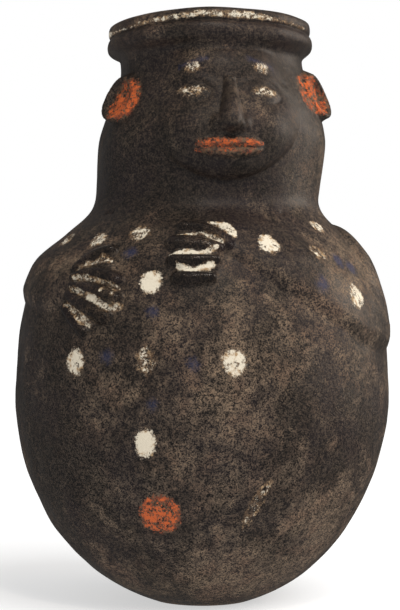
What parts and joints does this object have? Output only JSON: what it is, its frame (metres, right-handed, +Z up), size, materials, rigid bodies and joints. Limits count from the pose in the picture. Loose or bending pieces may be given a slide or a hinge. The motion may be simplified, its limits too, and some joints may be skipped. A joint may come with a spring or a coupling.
{
  "type": "anthropomorphic jar",
  "caption": "Round-bellied fired-clay jar whose neck is a human head under a flared rim, with arms and ribbed hands in low relief and painted dots.",
  "frame": {"origin": "centre of the flat round underside, on the surface that the jar stands on", "axes": "+Z up toward the mouth, -Y toward the viewer of the picture, +X to that viewer's right"},
  "size_m": [0.2958, 0.2945, 0.4577],
  "materials": {
    "fired_clay": "dark burnished clay with worn white, orange and blue paint"
  },
  "bodies": {
    "root": {"jar": "fired_clay"}
  },
  "joints": []
}
